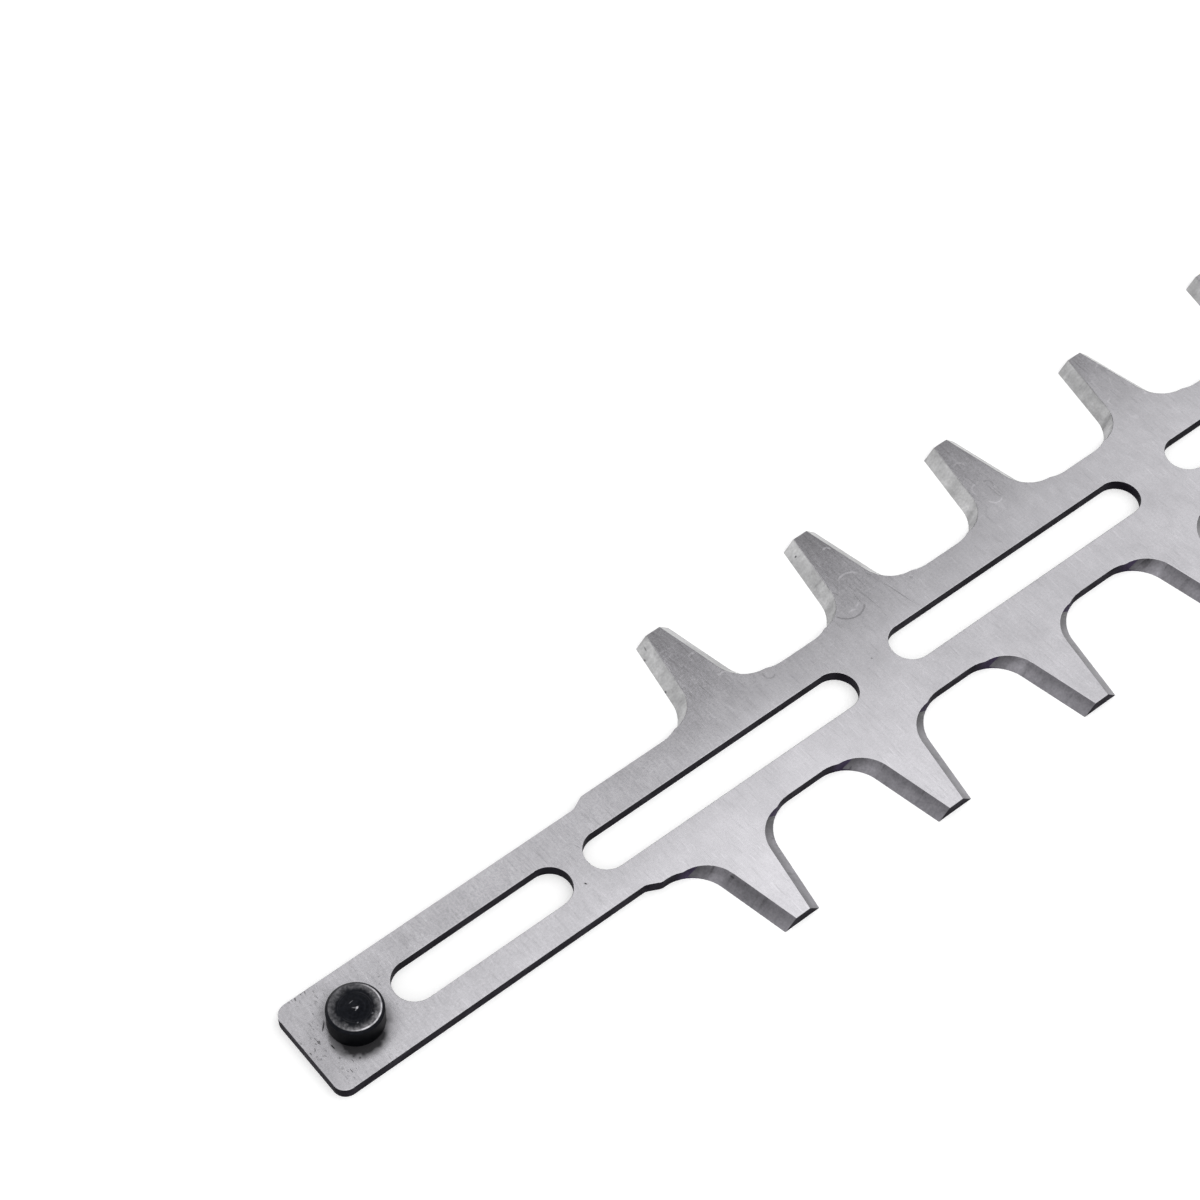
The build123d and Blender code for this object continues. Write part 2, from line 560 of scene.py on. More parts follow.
RUBS = (
    Rub(101.8, 11.6, 3.0, 259.0, 0.5, -1.25),
    Rub(105.2, 13.5, 2.42, 76.0, 0.7, 1.5),
    Rub(101.5, 8.4, 1.55, 80.0, 0.85, 0.9),
    Rub(102.6, 11.4, 1.3, 300.0, 0.8, 0.8),
    Rub(106.4, 21.0, 0.6, 60.0, 0.3, 1.9),
    Rub(100.6, 13.2, 1.4, 40.0, 0.8, -0.7),
    Rub(134.2, 20.4, 0.95, 60.0, 0.1, 0.8),
    Rub(133.5, 15.2, 1.1, 140.0, 0.3, 0.8),
    Rub(135.2, 15.0, 0.9, 20.0, 0.3, -0.8),
    Rub(134.4, 12.6, 1.2, 250.0, 0.4, 0.9),
    Rub(83.9, 8.9, 0.9, 225.0, 0.0, -0.9),
    Rub(82.9, 10.2, 0.7, 40.0, 0.4, -0.7),
    Rub(78.3, 12.2, 1.3, 70.0, 0.6, 1.1),
    Rub(77.0, 18.6, 0.5, 90.0, 0.3, 1.0),
    Rub(73.8, 20.0, 2.1, 90.0, 0.93, 1.0),
    Rub(74.0, 22.3, 1.6, 270.0, 0.9, 0.8),
)


def place_mark(board: NodeBoard, scar: Scar) -> Socket:
    """Places one mark.

    Args:
        board: The material's board.
        scar: The mark.

    Returns:
        The mask's socket, not yet weighed by the mark's depth.
    """
    return board.mask(
        Mark,
        Place=(scar.x * MM, scar.y * MM, scar.z * MM),
        Turn=-math.radians(scar.turn),
        Half_size=(scar.length * MM / 2, scar.width * MM / 2, MARK_REACH),
    )


def join_marks(board: NodeBoard, scars: tuple[Scar, ...]) -> Socket:
    """Joins single marks into one mask.

    Args:
        board: The material's board.
        scars: The marks.

    Returns:
        The mask's socket.
    """
    total = 0.0
    for scar in scars:
        total = board.most(board.product(place_mark(board, scar), scar.depth), total)
    return total


@dataclass(frozen=True)
class Finish:
    """One material of the blade, under its own name."""

    name: str = "finish"

    def dress(self, board: NodeBoard) -> Feeds:
        """Adds the finish's nodes.

        Args:
            board: The material's board.

        Returns:
            What feeds the shader's inputs, by name.
        """
        raise NotImplementedError

    def build(self) -> bpy.types.Material:
        """Makes the material.

        Returns:
            The material.
        """
        material = bpy.data.materials.new(self.name)
        board = NodeBoard.of(material)
        shader = board.add("BsdfPrincipled", self.dress(board))
        board.add("OutputMaterial", {0: shader[0]})
        return material


@dataclass(frozen=True)
class GroundFace(Finish):
    """The flat faces, surface ground across the blade and rubbed in use.

    The far row is rubbed most. Its rub marks are placed one by one near the heel, and only
    scattered past the band named unseen.
    """

    name: str = "ground_face"
    top: float = 1.95 * MM
    steel: Span = (0.6, 0.05)
    roughness: Span = (0.13, 0.17)
    line_density: Place = (2400.0, 420.0, 2400.0)
    line_contrast: float = 0.2
    relief: float = 0.004 * MM
    edge_reach: float = 0.14 * MM
    far_row: Span = (9 * MM, 14 * MM)
    far_row_gain: float = 1.3
    heel: Span = (6 * MM, -7 * MM)
    heel_shade: float = 0.95
    cloud_sway: float = 0.045
    patch_sway: float = 0.025
    pale_gain: float = 0.08
    dark_gains: Span = (-0.07, -0.13)
    rubbed_row: Span = (9 * MM, 12 * MM)
    unseen: Span = (145 * MM, 155 * MM)
    ring_gains: Span = (0.08, 0.6)
    rub_width: float = 0.24 * MM
    rub_gain: float = 0.26
    shadow_smudge_breaks: Span = (0.85, 1.13)
    most_shadow_smudge: float = 0.985
    pit_depth: float = 0.6
    speck_depth: float = 0.72
    edge_depths: Span = (0.12, 0.42)
    scar_relief: float = -3.0
    grime_and_shade: Span = (0.015, 0.15)
    grime_and_shade_roughness: float = 0.5
    grime_and_shade_metal: float = -0.75
    scars: tuple[Scar, ...] = SCARS
    rubs: tuple[Rub, ...] = RUBS
    shadow_smudges: tuple[Scar, ...] = PIN_SHADOW_SMUDGE

    def shadow_smudge(self, board: NodeBoard) -> Socket:
        """Makes the dark patch round the foot of the drive pin, darkest on the near side: painted
        shadow of the pin, with some grease, broken up by a mottle.

        Args:
            board: The material's board.

        Returns:
            The mask's socket.
        """
        total = 0.0
        for patch in self.shadow_smudges:
            mask = place_mark(board, patch)
            total = board.math("MULTIPLY_ADD", mask, patch.depth, total)
        patchy = board.mask(Mottle, Per_metre=900.0, Low=0.38, High=0.66)
        total = board.product(total, board.mix(patchy, *self.shadow_smudge_breaks))
        return board.math("MINIMUM", total, self.most_shadow_smudge)

    def rub_tone(self, board: NodeBoard) -> Socket:
        """Adds up the curved rub marks, pale over 0 and dark under it.

        Args:
            board: The material's board.

        Returns:
            The tone's socket.
        """
        rings = board.mask(RubRings)
        along, across, _ = board.axes()
        row = board.ramp(across, *self.rubbed_row)
        unseen = board.ramp(along, *self.unseen)
        total = board.product(rings, row, board.mix(unseen, *self.ring_gains))
        for rub in self.rubs:
            arc = board.mask(
                Arc,
                Place=(rub.x * MM, rub.y * MM, self.top),
                Turn=-math.radians(rub.turn),
                Radius=rub.radius * MM,
                Width=self.rub_width,
                Reach=rub.reach,
            )
            total = board.math("MULTIPLY_ADD", arc, rub.tone, total)
        return total

    def dress(self, board: NodeBoard) -> Feeds:
        """Adds the nodes, as Finish.dress says."""
        lines = board.group(GrindingLines, Density=self.line_density)
        pale = board.mask(Hairlines, Density=(2500.0, 330.0, 2500.0), Level=0.72)
        dark = board.mask(Hairlines, Density=(2900.0, 260.0, 2900.0), Level=0.7)
        specks = board.mask(Hairlines, Density=(3000.0, 1300.0, 3000.0), Level=0.645)
        cloud = board.mask(Mottle, Per_metre=110.0, Low=0.3, High=0.7)
        patch = board.mask(Mottle, Per_metre=420.0, Low=0.3, High=0.7)
        pits = board.mask(Pits, Per_metre=210.0, Share=0.09, Radius=0.045)
        edge = board.mask(EdgeWearAndShade, Reach=self.edge_reach)
        scars = join_marks(board, self.scars)
        shadow_smudge = self.shadow_smudge(board)
        rubs = self.rub_tone(board)
        along, across, _ = board.axes()
        row = board.ramp(across, *self.far_row)
        heel = board.ramp(along, *self.heel)
        contrast = board.mix(row, self.line_contrast, self.line_contrast * self.far_row_gain)
        shade = board.math("SUBTRACT", lines["Tone"], 0.5)
        shade = board.math("MULTIPLY_ADD", shade, contrast, 1.0)
        shade = board.product(
            shade,
            board.sway(cloud, self.cloud_sway),
            board.sway(patch, self.patch_sway),
            board.mix(heel, 1.0, self.heel_shade),
        )
        shade = board.math("MULTIPLY_ADD", pale, self.pale_gain, shade)
        dark_gain = board.mix(row, *self.dark_gains)
        shade = board.math("ADD", shade, board.product(dark, dark_gain))
        shade = board.math("MULTIPLY_ADD", rubs, self.rub_gain, shade)
        base = board.scale(grey(*self.steel)[:3], shade)
        grime_and_shade = board.most(scars, board.product(pits, self.pit_depth))
        clusters = board.mask(Mottle, Per_metre=300.0, Low=0.42, High=0.62)
        specks = board.product(specks, heel, clusters, self.speck_depth)
        # The patch at the pin's foot is painted shadow; the marks, pits and specks are dirt and
        # wear.
        grime_and_shade = board.most(grime_and_shade, specks, shadow_smudge)
        # A dark line along the face's edges, stronger on the far row: painted shade.
        grime_and_shade = board.most(grime_and_shade, board.product(edge, board.mix(row, *self.edge_depths)))
        colour = board.tint(grime_and_shade, base, grey(*self.grime_and_shade))
        rough = board.mix(grime_and_shade, board.mix(lines["Tone"], *self.roughness), self.grime_and_shade_roughness)
        height = board.math("MULTIPLY_ADD", scars, self.scar_relief, lines["Height"])
        normal = board.bump(height, self.relief)
        return {
            "Base Color": colour,
            "Metallic": board.math("MULTIPLY_ADD", grime_and_shade, self.grime_and_shade_metal, 1.0),
            "Roughness": rough,
            "Normal": normal,
        }


@dataclass(frozen=True)
class PunchedWall(Finish):
    """The punched edges of the plate, left black from heat treatment.

    The grinding stone brushed those at the foot of the near teeth.
    """

    name: str = "punched_wall"
    black: Span = (0.0055, 0.9)
    line_density: Place = (1500.0, 1500.0, 260.0)
    line_sway: float = 0.25
    patch_tones: Span = (0.8, 1.3)
    brushed_from: Span = (-9.45 * MM, -10.3 * MM)
    brushed_to: Span = (-13 * MM, -11.3 * MM)
    brushed_gain: float = 6.0
    edge_reach: float = 0.1 * MM
    edge_depth: float = 0.4
    steel: Span = (0.1, 0.05)
    roughness: Span = (0.62, 0.5)
    relief: float = 0.01 * MM
    specular: float = 0.05

    def dress(self, board: NodeBoard) -> Feeds:
        """Adds the nodes, as Finish.dress says."""
        lines = board.group(GrindingLines, Density=self.line_density)
        patch = board.mask(Mottle, Per_metre=420.0, Low=0.35, High=0.7)
        edge = board.mask(EdgeWearAndShade, Reach=self.edge_reach)
        shade = board.product(
            board.sway(lines["Tone"], self.line_sway), board.mix(patch, *self.patch_tones)
        )
        across = board.axes()[1]
        brushed = board.product(
            board.ramp(across, *self.brushed_from), board.ramp(across, *self.brushed_to)
        )
        shade = board.product(shade, board.mix(brushed, 1.0, self.brushed_gain))
        base = board.scale(grey(*self.black)[:3], shade)
        rubbed = board.product(edge, self.edge_depth)
        return {
            "Base Color": board.tint(rubbed, base, grey(*self.steel)),
            "Metallic": 0.0,
            "Roughness": board.mix(patch, *self.roughness),
            "Normal": board.bump(lines["Height"], self.relief),
            "Specular IOR Level": self.specular,
        }


@dataclass(frozen=True)
class WhettedBevel(Finish):
    """The ground cutting flanks, duller than the faces.

    Each row's left and right flanks get their own tone by the way they face, which is painted
    light, and the flanks are darker at the near roots. The foot and rim tones, which make the near
    row's flanks darker towards the rim as painted reflection, are those of the near row and the far
    row.
    """

    name: str = "whetted_bevel"
    near_steel: Span = (0.3, 0.09)
    far_steel: Span = (0.3, 0.01)
    roughness: Span = (0.33, 0.28)
    line_density: Place = (420.0, 2300.0, 420.0)
    line_sway: float = 0.18
    blotch_sway: float = 0.08
    fine_sway: float = 0.09
    streak_gain: float = -0.14
    pitch: float = 30 * MM
    near_tooth: float = 60.15 * MM
    divide: Span = (-0.1 * MM, 0.1 * MM)
    near_flank_light: Span = (1.0, 0.63)
    far_flank_light: Span = (1.25, 1.35)
    up: Span = (0.5 * MM, 1.75 * MM)
    foot_painted_light: Span = (1.12, 0.98)
    rim_painted_light: Span = (0.78, 1.0)
    near_root: Span = (-14 * MM, -10 * MM)
    bar_side: Span = (-8 * MM, -9 * MM)
    root_tone: float = 0.25
    pit_depth: float = 0.75
    edge_reach: float = 0.14 * MM
    edge_depth: float = 0.3
    edge_up: Span = (0.4 * MM, 1.5 * MM)
    spot_and_shade: Span = (0.04, 0.1)
    relief: float = 0.005 * MM
    nicks_and_shade: tuple[Scar, ...] = NICKS_AND_SHADE

    def flank_light(self, board: NodeBoard, along: Socket, far: Socket) -> Socket:
        """Makes the painted light of each row's left and right flanks, lighter or darker by the way
        each faces.

        Args:
            board: The material's board.
            along: The distance along the blade.
            far: The far row's mask.

        Returns:
            The tone's socket.
        """
        half = self.pitch / 2
        from_tooth = board.math("SUBTRACT", along, self.near_tooth)
        from_tooth = board.math("MULTIPLY_ADD", far, -half, from_tooth)
        right = board.ramp(board.math("WRAP", from_tooth, half, -half), *self.divide)
        return board.mix(far, board.mix(right, *self.near_flank_light), board.mix(right, *self.far_flank_light))

    def dress(self, board: NodeBoard) -> Feeds:
        """Adds the nodes, as Finish.dress says."""
        lines = board.group(
            GrindingLines, Density=self.line_density, Grain_per_metre=3000.0, Grain=0.6
        )
        streaks = board.mask(Hairlines, Density=(300.0, 1500.0, 300.0), Level=0.68)
        blotch = board.mask(Mottle, Per_metre=150.0, Low=0.35, High=0.68)
        fine = board.mask(Mottle, Per_metre=700.0, Low=0.3, High=0.7)
        pits = board.mask(Pits, Per_metre=330.0, Share=0.09, Radius=0.07)
        edge = board.mask(EdgeWearAndShade, Reach=self.edge_reach)
        along, across, height = board.axes()
        far = board.ramp(across, *self.divide)
        up = board.ramp(height, *self.up)
        in_root = board.product(
            board.ramp(across, *self.near_root), board.ramp(across, *self.bar_side)
        )
        shade = board.product(
            board.sway(lines["Tone"], self.line_sway),
            board.sway(blotch, self.blotch_sway),
            board.sway(fine, self.fine_sway),
            # Near-row flanks lighter at the foot and darker towards the rim: painted reflection.
            board.mix(up, board.mix(far, *self.foot_painted_light), board.mix(far, *self.rim_painted_light)),
            board.mix(in_root, 1.0, self.root_tone),
            self.flank_light(board, along, far),
        )
        shade = board.math("MULTIPLY_ADD", streaks, self.streak_gain, shade)
        steel = board.tint(far, grey(*self.near_steel), grey(*self.far_steel))
        base = board.scale(steel, shade)
        # Pits and cut marks, with a painted-shade patch over the first near flank.
        spots_and_shade = board.most(
            board.product(pits, self.pit_depth),
            # The dark line along the flanks' upper edges is painted shade.
            board.product(edge, board.ramp(height, *self.edge_up), self.edge_depth),
            join_marks(board, self.nicks_and_shade),
        )
        return {
            "Base Color": board.tint(spots_and_shade, base, grey(*self.spot_and_shade)),
            "Metallic": 1.0,
            "Roughness": board.mix(blotch, *self.roughness),
            "Normal": board.bump(lines["Height"], self.relief),
        }


@dataclass(frozen=True)
class BlackOxide(Finish):
    """The drive pin's black oxide, rubbed round its end and through to steel at the rim.

    Its ring is rubbed more and painted brighter on the lit side, which is painted light. The rim
    line is bright steel drawn on the lit side only, partly painted highlight, and the glints at the
    centre are painted highlights.
    """

    name: str = "black_oxide"
    end_level: float = 0.008
    side_level: float = 0.002
    level_breaks: Span = (0.7, 1.4)
    cast: Place = (0.88, 0.98, 1.35)
    worn: Span = (0.26, 0.05)
    steel: Span = (0.8, 0.05)
    lit_side: Span = (-1.6 * MM, 3.4 * MM)
    end_up: Span = (5.1 * MM, 5.4 * MM)
    ring_up: Span = (5.25 * MM, 5.4 * MM)
    ring_inside: Span = (2.55 * MM, 3.55 * MM)
    ring_outside: Span = (3.84 * MM, 3.72 * MM)
    ring_sway: float = 1.3 * MM
    sways_per_metre: float = 1500.0
    ring_depths: Span = (0.5, 0.85)
    ring_breaks: Span = (0.5, 1.15)
    ring_patches: float = 0.25
    turned_per_metre: float = 3200.0
    turned_line: Span = (0.52, 0.68)
    turned_depth: float = 0.09
    peened_up: Span = (0.3 * MM, 0.15 * MM)
    peened_breaks: Span = (0.12, 0.4)
    rim_middle: float = 3.68 * MM
    rim_halves: Span = (0.17 * MM, 0.04 * MM)
    rim_breaks: Span = (0.3, 0.85)
    roughness: Span = (0.36, 0.28)
    relief: float = 0.01 * MM
    relief_strength: float = 0.2
    specular: float = 0.06
    glints: tuple[Scar, ...] = PIN_GLINTS

    def rubbed(self, board: NodeBoard, radius: Socket, lit: Socket) -> Socket:
        """Makes the mask of oxide rubbed grey: a soft ring, faint turned rings and the base.

        Args:
            board: The material's board.
            radius: The distance from the pin's axis.
            lit: The mask of the lit side, where the ring is painted brighter as painted light
                besides its wear.

        Returns:
            The mask's socket.
        """
        place = board.place()
        height = board.add("SeparateXYZ", {0: place})[2]
        on_end = board.ramp(height, *self.ring_up)
        push = board.math("SUBTRACT", board.noise(place, self.sways_per_metre, 4.0)[0], 0.5)
        swayed = board.math("MULTIPLY_ADD", push, self.ring_sway, radius)
        fine = board.mask(Mottle, Per_metre=2600.0, Low=0.3, High=0.7)
        wide = board.mask(Mottle, Per_metre=500.0, Low=0.3, High=0.7)
        ring = board.product(
            board.ramp(swayed, *self.ring_inside),
            board.ramp(radius, *self.ring_outside),
            on_end,
            board.mix(lit, *self.ring_depths),
            board.mix(fine, *self.ring_breaks),
            board.sway(wide, self.ring_patches),
        )
        sockets = {"W": radius, "Scale": self.turned_per_metre, "Detail": 2.0}
        turned = board.add("TexNoise", sockets, noise_dimensions="1D")[0]
        line = board.ramp(turned, *self.turned_line)
        rings = board.product(line, wide, on_end, self.turned_depth)
        peened = board.product(
            board.ramp(height, *self.peened_up), board.mix(fine, *self.peened_breaks)
        )
        return board.most(ring, rings, peened)

    def bare_and_highlight(self, board: NodeBoard, radius: Socket, lit: Socket) -> Socket:
        """Makes the mask of steel and painted highlights: a broken bright rim, painted highlight as
        well as worn steel, and the painted glints at the centre.

        Args:
            board: The material's board.
            radius: The distance from the pin's axis.
            lit: The mask of the lit side, the only side where the bright rim is painted: painted
                highlight.

        Returns:
            The mask's socket.
        """
        off = board.math("ABSOLUTE", board.math("SUBTRACT", radius, self.rim_middle))
        broken = board.mask(Mottle, Per_metre=1100.0, Low=0.34, High=0.6)
        line = board.ramp(off, *self.rim_halves)
        rim = board.product(line, lit, board.mix(broken, *self.rim_breaks))
        return board.most(rim, join_marks(board, self.glints))

    def dress(self, board: NodeBoard) -> Feeds:
        """Adds the nodes, as Finish.dress says."""
        place = board.place()
        along, across, height = board.add("SeparateXYZ", {0: place})
        radius = board.vector("LENGTH", board.vector("MULTIPLY", place, (1.0, 1.0, 0.0)))
        # The lit side: the ring and the rim are painted brighter there, as painted light.
        lit = board.ramp(board.math("SUBTRACT", along, across), *self.lit_side)
        on_end = board.ramp(height, *self.end_up)
        rubbed = self.rubbed(board, radius, lit)
        bare_and_highlight = board.product(self.bare_and_highlight(board, radius, lit), on_end)
        fine = board.mask(Mottle, Per_metre=2500.0, Low=0.3, High=0.7)
        # The sides get a quarter of the end's level: painted shade on the pin's sides.
        level = board.mix(on_end, self.side_level, self.end_level)
        level = board.product(level, board.mix(fine, *self.level_breaks))
        colour = board.scale(self.cast, level)
        colour = board.tint(rubbed, colour, grey(*self.worn))
        metal = board.most(rubbed, bare_and_highlight)
        return {
            "Base Color": board.tint(bare_and_highlight, colour, grey(*self.steel)),
            "Metallic": metal,
            "Roughness": board.mix(metal, *self.roughness),
            "Normal": board.bump(fine, self.relief, self.relief_strength),
            "Specular IOR Level": self.specular,
        }


@contextmanager
def edit_mode(piece: Piece) -> Iterator[Piece]:
    """Selects one piece alone and holds it in edit mode.

    Args:
        piece: The piece to shape.

    Yields:
        The same piece.
    """
    bpy.ops.object.select_all(action="DESELECT")
    piece.select_set(True)
    bpy.context.view_layer.objects.active = piece
    bpy.ops.object.mode_set(mode="EDIT")
    yield piece
    bpy.ops.object.mode_set(mode="OBJECT")


def pick(piece: Piece, kind: str, wanted: Callable[[Element], bool]) -> None:
    """Selects faces or edges of a piece that is in edit mode.

    Args:
        piece: The piece.
        kind: FACE or EDGE.
        wanted: Says of a face or an edge whether it is picked.
    """
    bpy.ops.mesh.select_mode(type=kind)
    bpy.ops.mesh.select_all(action="DESELECT")
    mesh = bmesh.from_edit_mesh(piece.data)
    for element in mesh.faces if kind == "FACE" else mesh.edges:
        element.select_set(wanted(element))
    bmesh.update_edit_mesh(piece.data)


def draw_out(x: float = 0.0, z: float = 0.0) -> None:
    """Extrudes the picked faces, in edit mode."""
    bpy.ops.mesh.extrude_region_move(TRANSFORM_OT_translate={"value": (x, 0.0, z)})


def heights(edge: Edge) -> Span:
    """Gives the heights of an edge's two ends, the lower one first."""
    low, high = sorted(point.co.z for point in edge.verts)
    return low, high


@dataclass
class ToothedPlate:
    """The punched and ground plate, its flat faces' edges broken and its cutting edges sharp."""

    node: str = "blade"
    slot: str = "ground_steel"
    top: float = 1.95 * MM
    level_gap: float = 0.02 * MM
    merge_distance: float = 0.06 * MM
    heel_cut: float = -6.0 * MM
    heel_end: float = -8.5 * MM
    heel_side: float = 8.3 * MM
    heel_corner: float = 2.05 * MM
    corner_steps: int = 14
    leftover: float = 0.01 * MM
    flat_angle: float = math.radians(0.5)
    edge_break: float = 0.07 * MM
    edge_steps: int = 3
    sharp_angle: float = math.radians(25)
    pin_radius: float = 4.5 * MM
    face_rise: float = 0.9
    wall_rise: float = 0.3
    upright_rise: float = 0.1
    wall_height: float = 1.2 * MM

    def skin_of(self, normal: Vector) -> Skin:
        """Says which skin a facet has, from the way it faces.

        Args:
            normal: The facet's normal.

        Returns:
            Its skin.
        """
        rise = abs(normal.z)
        if rise > self.face_rise:
            return Skin.FACE
        return Skin.WALL if rise < self.wall_rise else Skin.BEVEL

    def is_heel_cut(self, face: Face) -> bool:
        """Says whether a face is the one where the heel was cut off."""
        upright = face.normal.x < -self.face_rise and abs(face.normal.z) < self.upright_rise
        return upright and face.calc_center_median().x < self.heel_cut / 2

    def is_heel_corner(self, edge: Edge) -> bool:
        """Says whether an edge stands at one of the heel's square corners.

        Args:
            edge: An edge of the plate.

        Returns:
            True for an upright edge at the heel's end and side.
        """
        low, high = heights(edge)
        return high - low > self.wall_height and all(
            point.co.x < self.heel_end + self.leftover
            and abs(point.co.y) > self.heel_side - self.leftover
            for point in edge.verts
        )

    def is_drawn_line(self, edge: Edge) -> bool:
        """Says whether an edge runs across a face that was drawn out with the heel.

        Args:
            edge: An edge of the plate.

        Returns:
            True for a line along the blade, from the cut to the heel's end, inside its sides.
        """
        near = self.leftover
        start, end = sorted((point.co for point in edge.verts), key=lambda place: place.x)
        drawn = start.x < self.heel_end + near and end.x < self.heel_cut + near
        straight = abs(start.y - end.y) < near and end.x - start.x > near
        return drawn and straight and abs(start.y) < self.heel_side - near

    def is_broken(self, edge: Edge) -> bool:
        """Says whether an edge is one that the maker breaks.

        Args:
            edge: An edge of the plate.

        Returns:
            True on the rim of the top face, and on the flat face's rim where a whole wall
            stands on it. The cutting edges and what the pin covers are left out.
        """
        start, end = (vertex.co for vertex in edge.verts)
        covered = math.hypot(start.x, start.y) < self.pin_radius
        if covered or edge.calc_face_angle(0.0) < self.sharp_angle:
            return False
        if min(start.z, end.z) > self.top - self.level_gap:
            return True
        if max(start.z, end.z) > self.level_gap:
            return False
        walls = [face for face in edge.link_faces if self.skin_of(face.normal) is Skin.WALL]
        return any(max(v.co.z for v in wall.verts) > self.wall_height for wall in walls)

    def flatten(self) -> None:
        """Dissolves the lines across flat faces, in edit mode."""
        bpy.ops.mesh.select_all(action="SELECT")
        bpy.ops.mesh.dissolve_limited(angle_limit=self.flat_angle, delimit=set())

    def square_heel(self, plate: Piece) -> None:
        """Cuts the heel off and draws it out again, with an upright end and round corners.

        Args:
            plate: The plate, in edit mode.
        """
        bpy.ops.mesh.select_all(action="SELECT")
        bpy.ops.mesh.bisect(
            plane_co=(self.heel_cut, 0.0, 0.0),
            plane_no=(1.0, 0.0, 0.0),
            clear_inner=True,
            use_fill=True,
        )
        pick(plate, "FACE", self.is_heel_cut)
        draw_out(x=self.heel_end - self.heel_cut)
        pick(plate, "EDGE", self.is_drawn_line)
        bpy.ops.mesh.dissolve_edges(use_verts=True)
        pick(plate, "EDGE", self.is_heel_corner)
        bpy.ops.mesh.bevel(offset=self.heel_corner, segments=self.corner_steps)

    def merge(self, plate: Piece) -> None:
        """Joins the loose triangles into whole faces and squares the heel.

        Args:
            plate: The plate.
        """
        with edit_mode(plate):
            bpy.ops.mesh.select_all(action="SELECT")
            bpy.ops.mesh.customdata_custom_splitnormals_clear()
            bpy.ops.mesh.remove_doubles(threshold=self.merge_distance)
            self.flatten()
            self.square_heel(plate)
            self.flatten()

    def break_edges(self, plate: Piece) -> None:
        """Rounds the edges that the maker breaks.

        Args:
            plate: The plate.
        """
        with edit_mode(plate):
            pick(plate, "EDGE", self.is_broken)
            bpy.ops.mesh.bevel(
                offset=self.edge_break, segments=self.edge_steps, clamp_overlap=False
            )
            bpy.ops.mesh.select_all(action="SELECT")
            bpy.ops.mesh.remove_doubles(threshold=self.leftover)

    def build(self) -> Piece:
        """Makes the plate, dresses it and sets it in place of its CAD node.

        Returns:
            The plate.
        """
        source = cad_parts[self.node]
        plate = bpy.data.objects.new("toothed_plate", source.data.copy())
        bpy.context.scene.collection.objects.link(plate)
        self.merge(plate)
        plate.data.materials.clear()
        for finish in (GroundFace(), PunchedWall(), WhettedBevel()):
            plate.data.materials.append(finish.build())
        for polygon in plate.data.polygons:
            polygon.material_index = self.skin_of(polygon.normal).value
        self.break_edges(plate)
        bpy.ops.object.shade_smooth_by_angle(angle=CREASE)
        bpy.ops.object.modifier_add(type="WEIGHTED_NORMAL")
        plate.modifiers[-1].keep_sharp = True
        bpy.ops.object.modifier_apply(modifier=plate.modifiers[-1].name)
        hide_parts(self.node)
        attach(plate, BODY)
        return plate


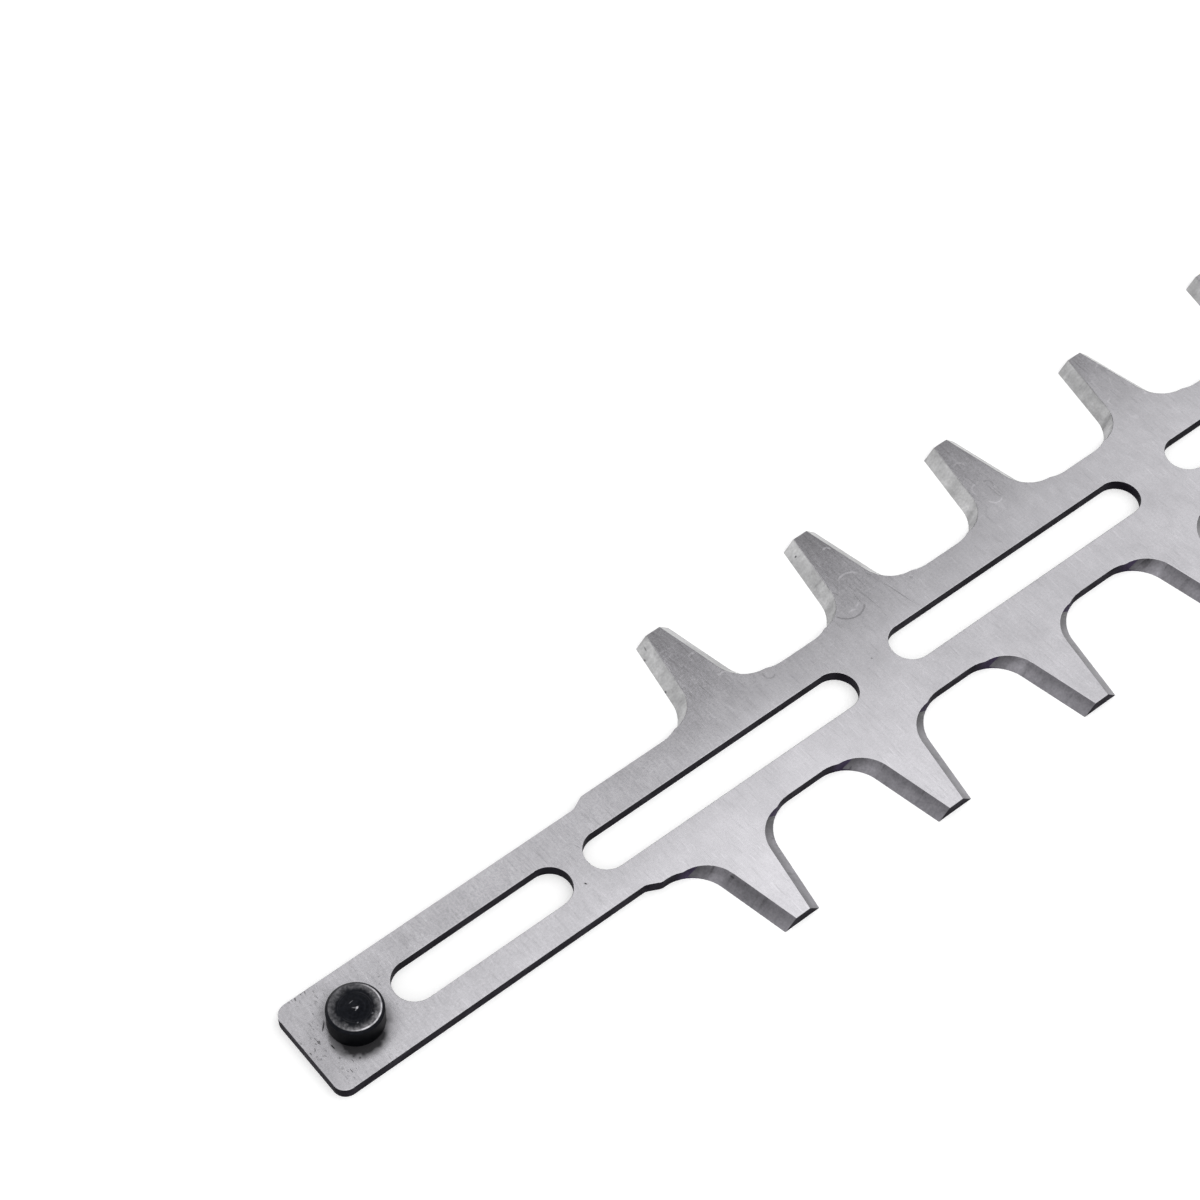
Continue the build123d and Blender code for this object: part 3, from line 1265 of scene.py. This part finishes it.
@dataclass
class TurnedPin:
    """The shouldered drive pin, riveted through the heel."""

    node: str = "drive_pin"
    slot: str = "black_oxide_steel"
    steps: int = 96
    radius: float = 4.2 * MM
    foot: float = 1.95 * MM
    top: float = 5.6 * MM
    chamfer: float = 0.4 * MM
    corner: float = 0.07 * MM
    corner_steps: int = 3
    end_depth: float = 0.5 * MM
    level_gap: float = 0.001 * MM
    flat_rise: float = 0.9
    land: float = 1.05 * MM
    dish: float = 0.03 * MM
    dish_slope: float = 0.35 * MM
    dimple_radius: float = 0.7 * MM
    dimple_depth: float = 0.404 * MM
    shank_radius: float = 2.8 * MM
    flare_height: float = 0.8 * MM
    flare_radius: float = 3.5 * MM
    recess: float = 0.1 * MM
    dent_radius: float = 1.6 * MM
    dent: float = 0.05 * MM

    def is_chamfer_ring(self, edge: Edge) -> bool:
        """Says whether an edge is on one of the chamfer's two rings."""
        low, high = heights(edge)
        return high - low < self.level_gap and low > self.top - self.end_depth

    def turn_end(self, pin: Piece) -> None:
        """Chamfers the free end, dishes it and drills its centre dimple.

        Args:
            pin: The pin, in edit mode.
        """
        level = self.top - self.level_gap
        pick(pin, "EDGE", lambda edge: heights(edge)[0] > level)
        bpy.ops.mesh.bevel(offset=self.chamfer, segments=1)
        pick(pin, "EDGE", self.is_chamfer_ring)
        bpy.ops.mesh.bevel(offset=self.corner, segments=self.corner_steps)
        pick(
            pin,
            "FACE",
            lambda face: face.normal.z > self.flat_rise and face.calc_center_median().z > level,
        )
        bpy.ops.mesh.inset(thickness=self.land)
        bpy.ops.mesh.inset(thickness=self.dish_slope, depth=-self.dish)
        bottom_radius = self.radius - self.chamfer - self.corner - self.land - self.dish_slope
        bpy.ops.mesh.inset(thickness=bottom_radius - self.dimple_radius)
        draw_out(z=-self.dimple_depth)
        bpy.ops.mesh.merge(type="CENTER")

    def rivet(self, pin: Piece) -> None:
        """Draws the shank through the plate and spreads its end in the countersink.

        Args:
            pin: The pin, in edit mode.
        """
        pick(pin, "FACE", lambda face: face.normal.z < -self.flat_rise)
        bpy.ops.mesh.inset(thickness=self.radius - self.shank_radius)
        draw_out(z=self.flare_height - self.foot)
        draw_out(z=self.recess - self.flare_height)
        spread = self.flare_radius / self.shank_radius
        bpy.ops.transform.resize(value=(spread, spread, 1.0))
        bpy.ops.mesh.inset(thickness=self.flare_radius - self.dent_radius)
        bpy.ops.mesh.inset(thickness=self.dent_radius / 2, depth=-self.dent)

    def build(self) -> Piece:
        """Makes the pin, dresses it and sets it in place of its CAD node.

        Returns:
            The pin.
        """
        bpy.ops.object.select_all(action="DESELECT")
        bpy.ops.mesh.primitive_cylinder_add(
            vertices=self.steps,
            radius=self.radius,
            depth=self.top - self.foot,
            location=(0.0, 0.0, (self.top + self.foot) / 2),
        )
        pin = bpy.context.object
        pin.name = "turned_pin"
        bpy.ops.object.transform_apply(location=True, rotation=True, scale=True)
        with edit_mode(pin):
            self.turn_end(pin)
            self.rivet(pin)
        bpy.ops.object.shade_smooth_by_angle(angle=CREASE)
        pin.data.materials.append(BlackOxide().build())
        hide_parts(self.node)
        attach(pin, BODY)
        return pin


@dataclass(frozen=True)
class Softbox:
    """A rectangular lamp that shines at a point of the plate, with a turn in degrees."""

    name: str
    location: Place
    aim: Place
    width: float
    height: float
    radiance: float
    turn: float = 0.0

    def build(self) -> Piece:
        """Adds the lamp.

        Returns:
            The lamp object.
        """
        bpy.ops.object.light_add(type="AREA", location=self.location)
        lamp = bpy.context.object
        lamp.name = self.name
        lamp.data.shape = "RECTANGLE"
        lamp.data.size = self.width
        lamp.data.size_y = self.height
        lamp.data.energy = self.radiance * math.pi * self.width * self.height
        toward = (Vector(self.aim) - Vector(self.location)).to_track_quat("-Z", "Y")
        roll = Quaternion((0.0, 0.0, 1.0), math.radians(self.turn))
        lamp.rotation_euler = (toward @ roll).to_euler()
        lamp.visible_camera = False
        return lamp


LAMPS = (
    Softbox(
        "overhead_softbox", (0.812, -0.001, 1.2), (0.812, -0.001, 0.0), 2.4, 1.2, 0.67, 10.7
    ),
    Softbox("near_softbox", (0.343, 0.425, 1.19), (0.343, 0.425, 0.0), 0.75, 0.36, 0.32),
    Softbox("heel_softbox", (0.22, 0.769, 1.19), (0.22, 0.769, 0.0), 0.71, 0.3, 0.8),
    Softbox("side_softbox", (-1.05, 1.2, 0.65), (0.1, 0.0, 0.0), 0.8, 0.8, 1.3),
)


@dataclass
class Studio:
    """A pale floor, soft lamps and plain surroundings that are paler at the horizon."""

    floor_half: float = 30.0
    floor_colour: float = 0.86
    floor_lift: float = 0.4
    floor_gap: float = 0.01 * MM
    white_for: tuple[str, ...] = ("Is Camera Ray", "Is Glossy Ray", "Is Transmission Ray")
    overhead_front: float = 0.85
    overhead_back: float = 0.26
    horizon: float = 1.0
    front_to_back: Span = (-0.2, 0.4)
    horizon_to_overhead: Span = (0.05, 0.28)
    lamps: tuple[Softbox, ...] = LAMPS

    def lay_floor(self) -> Piece:
        """Adds the floor, lifted to white for the camera and for reflections.

        Returns:
            The floor.
        """
        bpy.ops.mesh.primitive_plane_add(
            size=self.floor_half * 2, location=(0.0, 0.0, -self.floor_gap)
        )
        floor = bpy.context.object
        floor.name = "floor"
        material = bpy.data.materials.new("pale_floor")
        board = NodeBoard.of(material)
        diffuse = board.add("BsdfDiffuse", {"Color": grey(self.floor_colour)})[0]
        path = board.add("LightPath")
        seen = board.most(*(path[name] for name in self.white_for))
        lift = board.add("Emission", {"Strength": board.product(seen, self.floor_lift)})[0]
        board.add("OutputMaterial", {0: board.add("AddShader", {0: diffuse, 1: lift})[0]})
        floor.data.materials.append(material)
        return floor

    def surround(self) -> None:
        """Sets the world: dimmer overhead at the back, and palest at the horizon."""
        world = bpy.data.worlds.new("surroundings")
        bpy.context.scene.world = world
        board = NodeBoard.of(world)
        direction = board.add("TexCoord")["Generated"]
        _, back, rise = board.add("SeparateXYZ", {0: direction})
        to_back = board.ramp(back, *self.front_to_back)
        above = board.tint(to_back, grey(self.overhead_front), grey(self.overhead_back))
        up = board.ramp(rise, *self.horizon_to_overhead)
        colour = board.tint(up, grey(self.horizon), above)
        board.add("OutputWorld", {0: board.add("Background", {"Color": colour})[0]})

    def build(self) -> None:
        """Adds the floor, the surroundings and the lamps."""
        self.lay_floor()
        self.surround()
        for lamp in self.lamps:
            lamp.build()


def main() -> None:
    """Builds the camera, the studio and the two pieces, in that order."""
    logging.basicConfig(level=logging.INFO, format="%(name)s: %(message)s")
    Viewpoint().build()
    Studio().build()
    bpy.context.scene.view_settings.view_transform = "Standard"
    for piece in (ToothedPlate(), TurnedPin()):
        built = piece.build()
        log.info("%s: %d faces, rides on %s", built.name, len(built.data.polygons), BODY)


if __name__ == "__main__":
    main()
